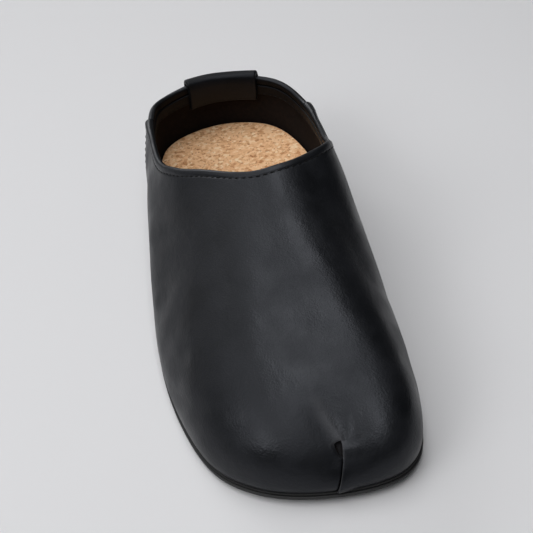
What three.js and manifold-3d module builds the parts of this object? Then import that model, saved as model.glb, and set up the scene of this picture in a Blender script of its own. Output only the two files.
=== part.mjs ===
// A black leather babouche slipper for the right foot, standing on its sole.
// Millimetres, +Z up. The toe points to -Y, the heel to +Y and the big-toe side to +X.
// The origin is on the floor under the middle of the shoe.
//
// One function, form(u, t), gives the outside of the shoe as it is drawn over its last.
// u runs once round the foot, one unit for each row of the table of ribs, starting at the back
// of the heel and going along the big-toe side. t runs up a rib, from the upper's lower edge
// at 0 to the collar or the throat at 1. Every piece is worked out from that function.

import * as THREE from "three";
import { mergeVertices } from "three/addons/utils/BufferGeometryUtils.js";
import Module from "manifold-3d";

const wasm = await Module();
wasm.setup();

// Driving dimensions of the last, all taken at the outside of the upper
const length = 265;
const ball_width = 102;
const throat_height = 66;
const wall_height = 31.5;
const wall_fullness = 6;
const rib_flare = 12;
const dart_lean = 12;

// The sole and the footbed
const outsole_thickness = 1.8;
const outsole_edge = 0.4;
const outsole_bevel = 0.6;
const midsole_thickness = 0.8;
const midsole_edge = -0.2;
const toe_spring = 4;
const arch_lift = 1;

// Shares of the length, from the heel: where the toe's spring starts, where the arch starts
// and ends and how long it takes to rise, and where the footbed grows thinner
const spring_from = 0.72;
const arch_from = 0.28;
const arch_to = 0.56;
const arch_blend = 0.12;
const footbed_thins_from = 0.15;
const footbed_thins_to = 0.75;

const footbed_heel = 16.5;
const footbed_toe = 9;
const footbed_chamfer = 0.6;
const footbed_clearance = 1.4;

// The leather
const leather = 2.2;
const turned_edge_thickness = 3;
const turned_edge_width = 2.4;
const facing_thickness = 1;
const facing_width = 8;
const seam_lap = 1.4;
const seam_lap_fade = 22;

// The pinched dart at the toe, and the small hole at its top
const dart_depth = 3;
const dart_spread = 11;
const dart_deepens = 16;
const dart_top = 22;
const dart_fade = 28;
const dart_lap = 1.2;
const dart_lap_fade = 9;
const hole_length = 7.5;
const hole_width = 2.8;

// The strip of leather folded over the collar at the back of the heel
const tab_width = 40;
const tab_thickness = 1.6;
const tab_middle = 4;
const tab_slack = 0.9;
const tab_outside = 22;
const tab_inside = 15;

// The gap kept between pieces that lie against each other
const gap = 0.3;

// How finely the faceted solids are drawn
const steps_per_rib = 5;
const wall_steps = 12;
const cap_steps = 4;
const tab_steps = 8;
const hole_steps = 6;
const halvings = 30;

// The height of the upper's lower edge over the floor, where the sole lies flat
const seat = outsole_thickness + gap + midsole_thickness + gap;

// Ribs round the foot. along and rim_along are shares of the length, from the heel.
// across and rim_across are shares of the ball width, to the big-toe side. rim_height is a
// share of throat_height, rise of wall_height, bulge of wall_fullness and lean of dart_lean.
// slope is the angle of the rib at the rim, in degrees, and reach, a share of the length,
// says how far the rib keeps it.
const columns = ["along", "across", "rim_along", "rim_across", "rim_height",
  "rise", "bulge", "lean", "slope", "reach"];
const ribs = [
  { name: "heel",     row: [0.000, -0.020, 0.022, -0.010, 0.712, 1.12, 0.50, 0.00, 88, 0.050] },
  { name: "heel_m",   row: [0.048,  0.270, 0.060,  0.310, 0.668, 1.12, 0.50, 0.00, 87, 0.050] },
  { name: "seam_m",   row: [0.180,  0.380, 0.155,  0.438, 0.600, 0.88, 1.00, 0.00, 82, 0.070] },
  { name: "waist_m",  row: [0.390,  0.415, 0.340,  0.431, 0.725, 0.88, 1.00, 0.00, 71, 0.090] },
  { name: "joint_m",  row: [0.690,  0.455, 0.458,  0.378, 0.970, 0.78, 0.00, 0.00, 50, 0.120] },
  { name: "corner_m", row: [0.888,  0.415, 0.502,  0.220, 1.020, 0.95, 0.25, 0.15, 33, 0.220] },
  { name: "great_m",  row: [0.980,  0.290, 0.513,  0.110, 1.030, 1.05, 0.55, 0.60, 25, 0.290] },
  { name: "dart",     row: [0.990,  0.015, 0.509,  0.020, 1.010, 1.00, 0.60, 1.00, 24, 0.320] },
  { name: "small_l",  row: [0.948, -0.275, 0.490, -0.076, 0.990, 1.10, 0.50, 0.60, 25, 0.290] },
  { name: "corner_l", row: [0.852, -0.455, 0.448, -0.192, 0.945, 0.88, 0.50, 0.15, 34, 0.230] },
  { name: "joint_l",  row: [0.643, -0.547, 0.395, -0.312, 0.865, 0.63, 0.35, 0.00, 54, 0.155] },
  { name: "waist_l",  row: [0.400, -0.480, 0.315, -0.385, 0.775, 0.93, 1.00, 0.00, 71, 0.075] },
  { name: "seam_l",   row: [0.185, -0.425, 0.160, -0.382, 0.755, 0.94, 0.65, 0.00, 84, 0.048] },
  { name: "heel_l",   row: [0.047, -0.320, 0.060, -0.300, 0.695, 1.12, 0.50, 0.00, 86, 0.050] },
];
const rib_number = Object.fromEntries(ribs.map((rib, i) => [rib.name, i]));

// Smooth closed curve through the rows, by the Catmull-Rom rule
function rowAt(u) {
  const i = Math.floor(u);
  const f = u - i;
  const pick = (k) => ribs[(((i + k) % ribs.length) + ribs.length) % ribs.length].row;
  const [before, from, to, after] = [pick(-1), pick(0), pick(1), pick(2)];
  const values = from.map((p1, k) => {
    const [p0, p2, p3] = [before[k], to[k], after[k]];
    const bend = (2 * p0 - 5 * p1 + 4 * p2 - p3) * f * f + (3 * p1 - p0 - 3 * p2 + p3) * f * f * f;
    return 0.5 * (2 * p1 + (p2 - p0) * f + bend);
  });
  return Object.fromEntries(columns.map((name, k) => [name, values[k]]));
}

function smooth(low, high, x) {
  const s = Math.min(1, Math.max(0, (x - low) / (high - low)));
  return s * s * (3 - 2 * s);
}

// The heel is at the middle of the length to +Y
function shareAlong(y) {
  return 0.5 - y / length;
}

// How far the sole is off the floor: the spring of the toe and the slight arch of the waist
function lift(y) {
  const share = shareAlong(y);
  const spring_share = Math.max(0, (share - spring_from) / (1 - spring_from));
  const arch_rises = smooth(arch_from, arch_from + arch_blend, share);
  const arch_falls = smooth(arch_to - arch_blend, arch_to, share);
  const arch_share = arch_rises * (1 - arch_falls);
  return toe_spring * spring_share ** 2 + arch_lift * arch_share;
}

// The lower edge of the upper in plan, and the direction that points out of it
function edgePoint(u) {
  const row = rowAt(u);
  return new THREE.Vector2(row.across * ball_width, length * (0.5 - row.along));
}

function edgeNormal(u) {
  const step = 0.02;
  const along = edgePoint(u + step).sub(edgePoint(u - step)).normalize();
  return new THREE.Vector2(-along.y, along.x);
}

// Cubic rib: up the wall, over the shoulder and along the top of the foot to the rim
function ribPoint(u, t) {
  const row = rowAt(u);
  const foot = edgePoint(u);
  const out = edgeNormal(u);
  const floor = seat + lift(foot.y);
  const rim = new THREE.Vector3(
    row.rim_across * ball_width,
    length * (0.5 - row.rim_along),
    seat + row.rim_height * throat_height,
  );
  const from_rim = foot.clone().sub(new THREE.Vector2(rim.x, rim.y));
  const outward = from_rim.addScaledVector(out, rib_flare).normalize();
  const slope = THREE.MathUtils.degToRad(row.slope);
  const reach = row.reach * length;
  const points = [
    new THREE.Vector3(foot.x, foot.y, floor),
    new THREE.Vector3(
      foot.x + out.x * row.bulge * wall_fullness + row.lean * dart_lean,
      foot.y + out.y * row.bulge * wall_fullness,
      floor + row.rise * wall_height,
    ),
    new THREE.Vector3(
      rim.x + outward.x * Math.cos(slope) * reach,
      rim.y + outward.y * Math.cos(slope) * reach,
      rim.z - Math.sin(slope) * reach,
    ),
    rim,
  ];
  const weights = [(1 - t) ** 3, 3 * (1 - t) ** 2 * t, 3 * (1 - t) * t ** 2, t ** 3];
  const point = new THREE.Vector3();
  points.forEach((p, k) => point.addScaledVector(p, weights[k]));
  return point;
}

// Directions on the plain form: up the rib, and out of the leather
function upRib(u, t) {
  const step = 0.01;
  return ribPoint(u, t + step).sub(ribPoint(u, t - step)).normalize();
}

function outOf(u, t) {
  const step = 0.02;
  const round = ribPoint(u + step, t).sub(ribPoint(u - step, t));
  return upRib(u, t).cross(round).normalize();
}

// The share t at a distance down from the rim, and at a distance up from the lower edge
function belowRim(u, distance) {
  const step = 0.01;
  const per_share = ribPoint(u, 1).distanceTo(ribPoint(u, 1 - step)) / step;
  return 1 - distance / per_share;
}

const dart_length_steps = 60;
const dart_lengths = [0];
for (let k = 1; k <= dart_length_steps; k += 1) {
  const [t0, t1] = [(k - 1) / dart_length_steps, k / dart_length_steps];
  const step = ribPoint(rib_number.dart, t1).distanceTo(ribPoint(rib_number.dart, t0));
  dart_lengths.push(dart_lengths[k - 1] + step);
}

function heightUpDart(t) {
  const place = Math.min(1, Math.max(0, t)) * dart_length_steps;
  const k = Math.min(dart_length_steps - 1, Math.floor(place));
  return THREE.MathUtils.lerp(dart_lengths[k], dart_lengths[k + 1], place - k);
}

// The pinch that the dart makes in the toe, with the big-toe side lapped over the other
function dartRelief(u, t) {
  const up = heightUpDart(t);
  const away = ribPoint(u, t).distanceTo(ribPoint(rib_number.dart, t));
  const fades_up = 1 - smooth(dart_top, dart_top + dart_fade, up);
  const deepens_up = smooth(0, dart_deepens, up);
  const pinch = dart_depth * Math.exp(-((away / dart_spread) ** 2)) * deepens_up * fades_up;
  const on_flap = u < rib_number.dart ? 1 : 0;
  const below_hole = 1 - smooth(dart_top - hole_length / 2, dart_top, up);
  const flap = dart_lap * on_flap * below_hole * (1 - smooth(0, dart_lap_fade, away));
  return flap - pinch;
}

// The vamp laps over the heel piece at both side seams
function seamRelief(u, t) {
  const ahead_m = u - rib_number.seam_m;
  const ahead_l = rib_number.seam_l - u;
  if (ahead_m <= 0 || ahead_l <= 0) {
    return 0;
  }
  const seam = ahead_m < ahead_l ? rib_number.seam_m : rib_number.seam_l;
  const away = ribPoint(u, t).distanceTo(ribPoint(seam, t));
  return seam_lap * (1 - smooth(0, seam_lap_fade, away));
}

// The outside of the finished upper
function form(u, t) {
  const relief = dartRelief(u, t) + seamRelief(u, t);
  return ribPoint(u, t).addScaledVector(outOf(u, t), relief);
}

// A point inside the leather, at a depth under the outside without the laps
function under(u, t, depth) {
  const pinch = Math.min(0, dartRelief(u, t));
  return ribPoint(u, t).addScaledVector(outOf(u, t), pinch - depth);
}

// Places round the foot, with a pair close together where one leather laps over another
const lap_half = 0.004;
const laps = [rib_number.seam_m, rib_number.dart, rib_number.seam_l];
const round = [];
for (let i = 0; i < ribs.length; i += 1) {
  for (let k = 0; k < steps_per_rib; k += 1) {
    if (k === 0 && laps.includes(i)) {
      round.push(i - lap_half, i + lap_half);
    } else {
      round.push(i + k / steps_per_rib);
    }
  }
}

// A closed mesh from a list of points and a list of triangles
function meshGeometry(points, triangles) {
  const geometry = new THREE.BufferGeometry();
  const positions = new Float32Array(points.flatMap((p) => [p.x, p.y, p.z]));
  geometry.setAttribute("position", new THREE.BufferAttribute(positions, 3));
  geometry.setIndex(triangles.flat());
  return mergeVertices(geometry, 1e-3);
}

// Drops the triangles that shrank to a line when their points met
function withoutSlivers(geometry) {
  const index = geometry.index.array;
  const kept = [];
  for (let k = 0; k < index.length; k += 3) {
    const [a, b, c] = [index[k], index[k + 1], index[k + 2]];
    if (a !== b && b !== c && c !== a) {
      kept.push(a, b, c);
    }
  }
  geometry.setIndex(kept);
  return geometry;
}

// A solid through a row of sections, each a loop of points that goes out and comes back
function loft(sections, closes) {
  const count = sections[0].length;
  const points = sections.flat();
  const triangles = [];
  const last = closes ? sections.length : sections.length - 1;
  for (let i = 0; i < last; i += 1) {
    const j = (i + 1) % sections.length;
    for (let k = 0; k < count; k += 1) {
      const n = (k + 1) % count;
      const [a, b] = [i * count + k, i * count + n];
      const [c, d] = [j * count + k, j * count + n];
      triangles.push([a, b, c], [b, d, c]);
    }
  }
  if (!closes) {
    const end = (sections.length - 1) * count;
    for (let k = 0; k < count / 2 - 1; k += 1) {
      const [a, b] = [k, k + 1];
      const [c, d] = [count - 1 - k, count - 2 - k];
      triangles.push([a, c, b], [b, c, d]);
      triangles.push([end + a, end + b, end + c], [end + b, end + d, end + c]);
    }
  }
  return withoutSlivers(meshGeometry(points, triangles));
}

// A solid from rings round the foot, lowest first, with a ladder of faces across each end
const sole_round = [];
const sole_steps = ribs.length * steps_per_rib;
for (let k = 0; k < sole_steps; k += 1) {
  sole_round.push(k / steps_per_rib);
}

function plate(rings) {
  const count = sole_steps;
  const points = rings.flat();
  const triangles = [];
  for (let r = 0; r + 1 < rings.length; r += 1) {
    for (let k = 0; k < count; k += 1) {
      const n = (k + 1) % count;
      const [a, b] = [r * count + k, r * count + n];
      const [c, d] = [a + count, b + count];
      triangles.push([a, c, b], [b, c, d]);
    }
  }
  const cap = (ring, faces_down) => {
    const start = points.length;
    const half = count / 2;
    for (let i = 0; i <= half; i += 1) {
      const [one, other] = [ring[i], ring[(count - i) % count]];
      for (let s = 0; s <= cap_steps; s += 1) {
        points.push(one.clone().lerp(other, s / cap_steps));
      }
    }
    for (let i = 0; i < half; i += 1) {
      for (let s = 0; s < cap_steps; s += 1) {
        const a = start + i * (cap_steps + 1) + s;
        const [b, c, d] = [a + 1, a + cap_steps + 1, a + cap_steps + 2];
        triangles.push(...(faces_down ? [[a, c, b], [b, c, d]] : [[a, b, c], [b, d, c]]));
      }
    }
  };
  cap(rings[0], true);
  cap(rings[rings.length - 1], false);
  return withoutSlivers(meshGeometry(points, triangles));
}

// A ring round the sole, moved out from the upper's lower edge, at a height over its lift
function soleRing(out, height) {
  return sole_round.map((u) => {
    const edge = edgePoint(u).addScaledVector(edgeNormal(u), out);
    return new THREE.Vector3(edge.x, edge.y, lift(edge.y) + height);
  });
}

function outsoleGeometry() {
  return plate([
    soleRing(outsole_edge - outsole_bevel, 0),
    soleRing(outsole_edge, outsole_bevel),
    soleRing(outsole_edge, outsole_thickness),
  ]);
}

function midsoleGeometry() {
  const bottom = outsole_thickness + gap;
  return plate([
    soleRing(midsole_edge, bottom),
    soleRing(midsole_edge, bottom + midsole_thickness),
  ]);
}

// The inside of the upper at a height, found by halving
function insideAt(u, height) {
  let [low, high] = [0, 1];
  for (let k = 0; k < halvings; k += 1) {
    const middle = (low + high) / 2;
    if (under(u, middle, leather).z < height) {
      low = middle;
    } else {
      high = middle;
    }
  }
  return under(u, low, leather);
}

// The footbed fills the shoe from wall to wall and is thickest under the heel
function footbedTop(y) {
  const forward = smooth(footbed_thins_from, footbed_thins_to, shareAlong(y));
  return THREE.MathUtils.lerp(footbed_heel, footbed_toe, forward);
}

function footbedRing(share_up, inset) {
  return sole_round.map((u) => {
    const foot = edgePoint(u);
    const base = seat + lift(foot.y) + gap;
    const height = base + footbedTop(foot.y) * share_up;
    const wall = insideAt(u, Math.max(height, base + footbed_clearance));
    const out = edgeNormal(u);
    const back = footbed_clearance + inset;
    return new THREE.Vector3(wall.x - out.x * back, wall.y - out.y * back, height);
  });
}

function footbedGeometry() {
  const chamfer_share = 1 - footbed_chamfer / footbed_toe;
  return plate([
    footbedRing(0, footbed_chamfer),
    footbedRing(1 / 2, 0),
    footbedRing(chamfer_share, 0),
    footbedRing(1, footbed_chamfer),
  ]);
}

// One section of the upper: up the outside, over the turned edge and down the inside
function upperSection(u) {
  const section = [];
  for (let k = 0; k < wall_steps; k += 1) {
    section.push(form(u, k / wall_steps));
  }
  const radius = turned_edge_thickness / 2;
  const out = outOf(u, 1);
  const up = upRib(u, 1);
  const relief = form(u, 1).distanceTo(ribPoint(u, 1));
  for (let angle = 0; angle <= 180; angle += 45) {
    const turn = THREE.MathUtils.degToRad(angle);
    const across = (Math.cos(turn) - 1) * radius + relief * (1 - angle / 180);
    section.push(ribPoint(u, 1).addScaledVector(out, across).addScaledVector(up, Math.sin(turn) * radius));
  }
  section.push(under(u, belowRim(u, turned_edge_width), turned_edge_thickness));
  section.push(under(u, belowRim(u, turned_edge_width + gap), leather));
  const top = belowRim(u, turned_edge_width + gap);
  for (let k = wall_steps - 1; k >= 1; k -= 1) {
    section.push(under(u, top * k / wall_steps, leather));
  }
  const foot = edgePoint(u).addScaledVector(edgeNormal(u), -leather);
  section.push(new THREE.Vector3(foot.x, foot.y, seat + lift(edgePoint(u).y)));
  return section;
}

// The teardrop hole: a prism across the wall, round above and pointed below
function holeGeometry() {
  const u = rib_number.dart;
  const lower_t = tUpDart(dart_top - hole_length);
  const upper_t = tUpDart(dart_top);
  const middle_t = (lower_t + upper_t) / 2;
  const out = outOf(u, middle_t);
  const up = form(u, upper_t).sub(form(u, lower_t)).normalize();
  const side = up.clone().cross(out).normalize();
  const radius = hole_width / 2;
  const round_from = hole_length / 2 - radius;
  const shape = new THREE.Shape();
  shape.absarc(0, round_from, radius, 0, Math.PI, false);
  shape.quadraticCurveTo(-radius, 0, 0, -hole_length / 2);
  shape.quadraticCurveTo(radius, 0, radius, round_from);
  const depth = 4 * leather;
  const options = { depth, bevelEnabled: false, curveSegments: hole_steps };
  const geometry = new THREE.ExtrudeGeometry(shape, options);
  geometry.translate(0, 0, -depth / 2);
  const centre = under(u, middle_t, leather / 2);
  const frame = new THREE.Matrix4().makeBasis(side, up, out).setPosition(centre);
  geometry.applyMatrix4(frame);
  return geometry;
}

function tUpDart(up) {
  const k = dart_lengths.findIndex((reached) => reached >= up);
  const part = (up - dart_lengths[k - 1]) / (dart_lengths[k] - dart_lengths[k - 1]);
  return (k - 1 + part) / dart_length_steps;
}

// Joins and cuts with solids
function solidOf(geometry) {
  const plain = geometry.clone();
  plain.deleteAttribute("normal");
  plain.deleteAttribute("uv");
  const merged = mergeVertices(plain, 1e-3);
  return new wasm.Manifold(new wasm.Mesh({
    numProp: 3,
    vertProperties: merged.attributes.position.array,
    triVerts: Uint32Array.from(merged.index.array),
  }));
}

function geometryOf(solid) {
  const result = solid.getMesh();
  const geometry = new THREE.BufferGeometry();
  geometry.setAttribute("position", new THREE.BufferAttribute(result.vertProperties, 3));
  geometry.setIndex(Array.from(result.triVerts));
  return geometry;
}

function upperGeometry() {
  const shell = solidOf(loft(round.map(upperSection), true));
  return geometryOf(shell.subtract(solidOf(holeGeometry())));
}

// The facing lies against the inside of the upper, under its turned edge
function facingSection(u) {
  const top = turned_edge_width + 2 * gap;
  const front = leather + gap;
  const back = front + facing_thickness;
  const downs = [top, top + facing_width / 2, top + facing_width];
  const outside = downs.map((down) => under(u, belowRim(u, down), front));
  const inside = downs.map((down) => under(u, belowRim(u, down), back));
  return [...outside.reverse(), ...inside];
}

// The place round the rim whose X is given, near the back of the heel
function rimPlace(x) {
  let [low, high] = [-1, 1];
  for (let k = 0; k < halvings; k += 1) {
    const middle = (low + high) / 2;
    if (ribPoint(middle, 1).x < x) {
      low = middle;
    } else {
      high = middle;
    }
  }
  return low;
}

// One section of the tab: a band that goes up the outside, over the rim and down the inside
function tabSection(u) {
  const out = outOf(u, 1);
  const up = upRib(u, 1);
  const inner_leg = leather + gap + facing_thickness + gap;
  const middle = ribPoint(u, 1).addScaledVector(out, -inner_leg / 2);
  const leg_shares = [1, 0.6, 0.25];
  const band = (offset) => {
    const line = [];
    for (const share of leg_shares) {
      line.push(under(u, belowRim(u, tab_outside * share), -gap - offset));
    }
    for (let angle = 0; angle <= 180; angle += 30) {
      const turn = THREE.MathUtils.degToRad(angle);
      const across = Math.cos(turn) * (inner_leg / 2 + gap + offset);
      const lifted = Math.sin(turn) * (inner_leg / 2 + tab_slack + offset);
      line.push(middle.clone().addScaledVector(out, across).addScaledVector(up, lifted));
    }
    for (const share of leg_shares.toReversed()) {
      line.push(under(u, belowRim(u, tab_inside * share), inner_leg + gap + offset));
    }
    return line;
  };
  return [...band(tab_thickness), ...band(0).reverse()];
}

function tabGeometry() {
  const sections = [];
  for (let k = 0; k <= tab_steps; k += 1) {
    const x = tab_middle + tab_width * (k / tab_steps - 0.5);
    sections.push(tabSection(rimPlace(x)));
  }
  return loft(sections, false);
}

// The pieces, each with its own material
const black_leather = { color: 0x1b1c1f, roughness: 0.42, metalness: 0 };
const black_rubber = { color: 0x141415, roughness: 0.7, metalness: 0 };
const cork = { color: 0xc79f77, roughness: 0.85, metalness: 0 };

function piece(name, geometry, finish) {
  const mesh = new THREE.Mesh(geometry, new THREE.MeshStandardMaterial(finish));
  mesh.name = name;
  return mesh;
}

const slipper = new THREE.Group();
slipper.add(piece("outsole", outsoleGeometry(), black_rubber));
slipper.add(piece("midsole", midsoleGeometry(), black_rubber));
slipper.add(piece("footbed", footbedGeometry(), cork));
slipper.add(piece("upper", upperGeometry(), black_leather));
slipper.add(piece("collar_facing", loft(round.map(facingSection), true), black_leather));
slipper.add(piece("heel_tab", tabGeometry(), black_leather));

// The middle of the shoe over the origin
const box = new THREE.Box3().setFromObject(slipper);
const middle_of_box = box.getCenter(new THREE.Vector3());
slipper.position.set(-middle_of_box.x, -middle_of_box.y, -box.min.z);

export default slipper;
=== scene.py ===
# %% [markdown]
# # A black leather babouche slipper, dressed for the camera
#
# A slip-on slipper is a leather upper pulled over a last, sewn at two side seams, pinched in
# one dart at the toe, and glued to a thin rubber sole. The construction comes ready made, as
# plain solids at their real size. This script keeps their places and gives every one of them
# the surface of the real thing: fine leather with a turned collar, cut edges, thread, cork
# and moulded rubber.
#
# Everything is in metres, with +Z up, the toe to -Y and the big-toe side to +X.

# %% Load the solids
import math

import bmesh
import bpy
import numpy as np
from mathutils import Matrix, Vector, noise


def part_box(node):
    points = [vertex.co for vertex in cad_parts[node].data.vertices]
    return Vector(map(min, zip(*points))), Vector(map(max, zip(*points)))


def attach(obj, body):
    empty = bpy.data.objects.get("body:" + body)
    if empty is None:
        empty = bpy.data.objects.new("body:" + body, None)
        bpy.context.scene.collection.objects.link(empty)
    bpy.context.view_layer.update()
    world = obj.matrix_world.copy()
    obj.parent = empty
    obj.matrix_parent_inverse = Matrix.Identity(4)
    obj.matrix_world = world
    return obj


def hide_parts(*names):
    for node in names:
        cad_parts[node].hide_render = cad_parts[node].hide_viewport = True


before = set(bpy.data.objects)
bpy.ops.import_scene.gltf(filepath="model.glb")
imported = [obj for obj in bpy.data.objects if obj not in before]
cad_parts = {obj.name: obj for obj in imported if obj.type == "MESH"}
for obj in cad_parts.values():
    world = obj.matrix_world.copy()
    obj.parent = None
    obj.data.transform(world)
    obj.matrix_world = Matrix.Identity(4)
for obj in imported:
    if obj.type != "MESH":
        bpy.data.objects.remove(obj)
scene = bpy.context.scene
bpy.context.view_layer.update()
MM = 0.001
print("solids:", sorted(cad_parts))

# %% [markdown]
# ## The form of the last
#
# A shoemaker's pattern starts from the last, so this script starts there too. The foot's
# shape is a ring of ribs: each one starts at the lower edge of the upper, climbs the wall and
# ends at the collar. The table holds shares of a few real sizes, one row for each rib, from
# the back of the heel along the big-toe side to the toe and back along the other side.
# Between two ribs a smooth curve is drawn, so a place on the leather is just two numbers:
# u, which rib, and t, how far up it.

# %% Sizes of the last and of the leather
LENGTH = 265 * MM
BALL_WIDTH = 102 * MM
THROAT_HEIGHT = 66 * MM
WALL_HEIGHT = 31.5 * MM
WALL_FULLNESS = 6 * MM
RIB_FLARE = 12 * MM
DART_LEAN = 12 * MM
LEATHER = 2.2 * MM
GAP = 0.3 * MM
OUTSOLE_THICKNESS = 1.8 * MM
MIDSOLE_THICKNESS = 0.8 * MM
SEAT = OUTSOLE_THICKNESS + GAP + MIDSOLE_THICKNESS + GAP
TOE_SPRING = 4 * MM
ARCH_LIFT = 1 * MM
SPRING_FROM, ARCH_FROM, ARCH_TO, ARCH_BLEND = 0.72, 0.28, 0.56, 0.12

COLUMNS = ("along", "across", "rim_along", "rim_across", "rim_height",
           "rise", "bulge", "lean", "slope", "reach")
RIBS = {
    "heel":     (0.000, -0.020, 0.022, -0.010, 0.712, 1.12, 0.50, 0.00, 88, 0.050),
    "heel_m":   (0.048,  0.270, 0.060,  0.310, 0.668, 1.12, 0.50, 0.00, 87, 0.050),
    "seam_m":   (0.180,  0.380, 0.155,  0.438, 0.600, 0.88, 1.00, 0.00, 82, 0.070),
    "waist_m":  (0.390,  0.415, 0.340,  0.431, 0.725, 0.88, 1.00, 0.00, 71, 0.090),
    "joint_m":  (0.690,  0.455, 0.458,  0.378, 0.970, 0.78, 0.00, 0.00, 50, 0.120),
    "corner_m": (0.888,  0.415, 0.502,  0.220, 1.020, 0.95, 0.25, 0.15, 33, 0.220),
    "great_m":  (0.980,  0.290, 0.513,  0.110, 1.030, 1.05, 0.55, 0.60, 25, 0.290),
    "dart":     (0.990,  0.015, 0.509,  0.020, 1.010, 1.00, 0.60, 1.00, 24, 0.320),
    "small_l":  (0.948, -0.275, 0.490, -0.076, 0.990, 1.10, 0.50, 0.60, 25, 0.290),
    "corner_l": (0.852, -0.455, 0.448, -0.192, 0.945, 0.88, 0.50, 0.15, 34, 0.230),
    "joint_l":  (0.643, -0.547, 0.395, -0.312, 0.865, 0.63, 0.35, 0.00, 54, 0.155),
    "waist_l":  (0.400, -0.480, 0.315, -0.385, 0.775, 0.93, 1.00, 0.00, 71, 0.075),
    "seam_l":   (0.185, -0.425, 0.160, -0.382, 0.755, 0.94, 0.65, 0.00, 84, 0.048),
    "heel_l":   (0.047, -0.320, 0.060, -0.300, 0.695, 1.12, 0.50, 0.00, 86, 0.050),
}
RIB_ROWS = np.array(list(RIBS.values()))
RIB_COUNT = len(RIB_ROWS)
DART, SEAM_M, SEAM_L = (list(RIBS).index(name) for name in ("dart", "seam_m", "seam_l"))
print(RIB_COUNT, "ribs, each a row of", len(COLUMNS), "numbers")


# %% The form as functions of u and t
def smooth(low, high, x):
    """A soft step, from 0 at low to 1 at high."""
    s = np.clip((x - low) / (high - low), 0, 1)
    return s * s * (3 - 2 * s)


def length(vectors):
    return np.linalg.norm(vectors, axis=-1)


def unit(vectors):
    return vectors / length(vectors)[..., None]


def distance_along(path):
    return np.concatenate([[0], np.cumsum(length(np.diff(path, axis=0)))])


def rows_at(u):
    """The table's values at any place, on a smooth curve through its rows."""
    u = np.asarray(u, float)
    start = np.floor(u).astype(int)
    f = (u - start)[..., None]
    p0, p1, p2, p3 = (RIB_ROWS[(start + k) % RIB_COUNT] for k in (-1, 0, 1, 2))
    bend = (2 * p0 - 5 * p1 + 4 * p2 - p3) * f**2 + (3 * p1 - p0 - 3 * p2 + p3) * f**3
    values = 0.5 * (2 * p1 + (p2 - p0) * f + bend)
    return {name: values[..., k] for k, name in enumerate(COLUMNS)}


def lift(y):
    """How far the sole rises from the floor, at the toe and under the arch."""
    share = 0.5 - y / LENGTH
    spring = np.clip((share - SPRING_FROM) / (1 - SPRING_FROM), 0, None) ** 2
    rises = smooth(ARCH_FROM, ARCH_FROM + ARCH_BLEND, share)
    falls = smooth(ARCH_TO - ARCH_BLEND, ARCH_TO, share)
    return TOE_SPRING * spring + ARCH_LIFT * rises * (1 - falls)


def edge_point(u):
    """The lower edge of the upper, seen from above."""
    row = rows_at(u)
    return np.stack([row["across"] * BALL_WIDTH, LENGTH * (0.5 - row["along"])], -1)


def edge_normal(u):
    step = 0.02
    along = unit(edge_point(u + step) - edge_point(u - step))
    return np.stack([-along[..., 1], along[..., 0]], -1)


def rib_point(u, t):
    """A place on the last: a cubic curve from the lower edge, over the shoulder, to the rim."""
    u, t = np.broadcast_arrays(np.asarray(u, float), np.asarray(t, float))
    row = rows_at(u)
    foot, out = edge_point(u), edge_normal(u)
    floor = SEAT + lift(foot[..., 1])
    rim_x = row["rim_across"] * BALL_WIDTH
    rim_y = LENGTH * (0.5 - row["rim_along"])
    rim = np.stack([rim_x, rim_y, SEAT + row["rim_height"] * THROAT_HEIGHT], -1)
    outward = unit(foot - rim[..., :2] + out * RIB_FLARE)
    slope = np.radians(row["slope"])
    reach = row["reach"] * LENGTH
    fullness = row["bulge"] * WALL_FULLNESS
    shoulder_x = foot[..., 0] + out[..., 0] * fullness + row["lean"] * DART_LEAN
    shoulder_y = foot[..., 1] + out[..., 1] * fullness
    shoulder = np.stack([shoulder_x, shoulder_y, floor + row["rise"] * WALL_HEIGHT], -1)
    down = np.stack([outward[..., 0] * np.cos(slope), outward[..., 1] * np.cos(slope), -np.sin(slope)], -1)
    start = np.concatenate([foot, floor[..., None]], -1)
    t = t[..., None]
    near_rim = rim + down * reach[..., None]
    return ((1 - t) ** 3 * start + 3 * (1 - t) ** 2 * t * shoulder
            + 3 * (1 - t) * t**2 * near_rim + t**3 * rim)


def up_rib(u, t):
    step = 0.01
    return unit(rib_point(u, t + step) - rib_point(u, t - step))


def round_foot(u, t):
    step = 0.02
    return unit(rib_point(u + step, t) - rib_point(u - step, t))


def out_of(u, t):
    """The direction straight out of the leather."""
    return unit(np.cross(up_rib(u, t), round_foot(u, t)))


def length_at_rim(u):
    """How many metres of rib a whole unit of t would be, measured at the rim."""
    step = 0.01
    return length(rib_point(u, 1) - rib_point(u, 1 - step)) / step


def below_rim(u, distance):
    return 1 - distance / length_at_rim(u)


def rim_distance(u, t):
    return (1 - t) * length_at_rim(u)


print("the throat is", round(float(rib_point(DART, 1)[2]) / MM, 1), "mm over the floor")


# %% [markdown]
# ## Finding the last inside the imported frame
#
# The solids stand with the middle of their box over the origin, the table round the middle of
# the last. The outsole follows the lower edge of the upper at a fixed distance,
# so comparing its box with the same ring drawn here gives the small shift between the two.

# %% The shift from the last to the frame
OUTSOLE_EDGE = 0.4 * MM
ring_u = np.arange(0, RIB_COUNT, 0.2)
ring = edge_point(ring_u) + edge_normal(ring_u) * OUTSOLE_EDGE
sole_low, sole_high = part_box("outsole")
SHIFT = np.array([
    (sole_low.x + sole_high.x) / 2 - (ring[:, 0].min() + ring[:, 0].max()) / 2,
    (sole_low.y + sole_high.y) / 2 - (ring[:, 1].min() + ring[:, 1].max()) / 2,
    sole_low.z,
])
width_error = (sole_high.x - sole_low.x) - np.ptp(ring[:, 0])
print("shift in mm:", (SHIFT / MM).round(3), "and the widths agree to", round(width_error / MM, 3), "mm")


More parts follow.
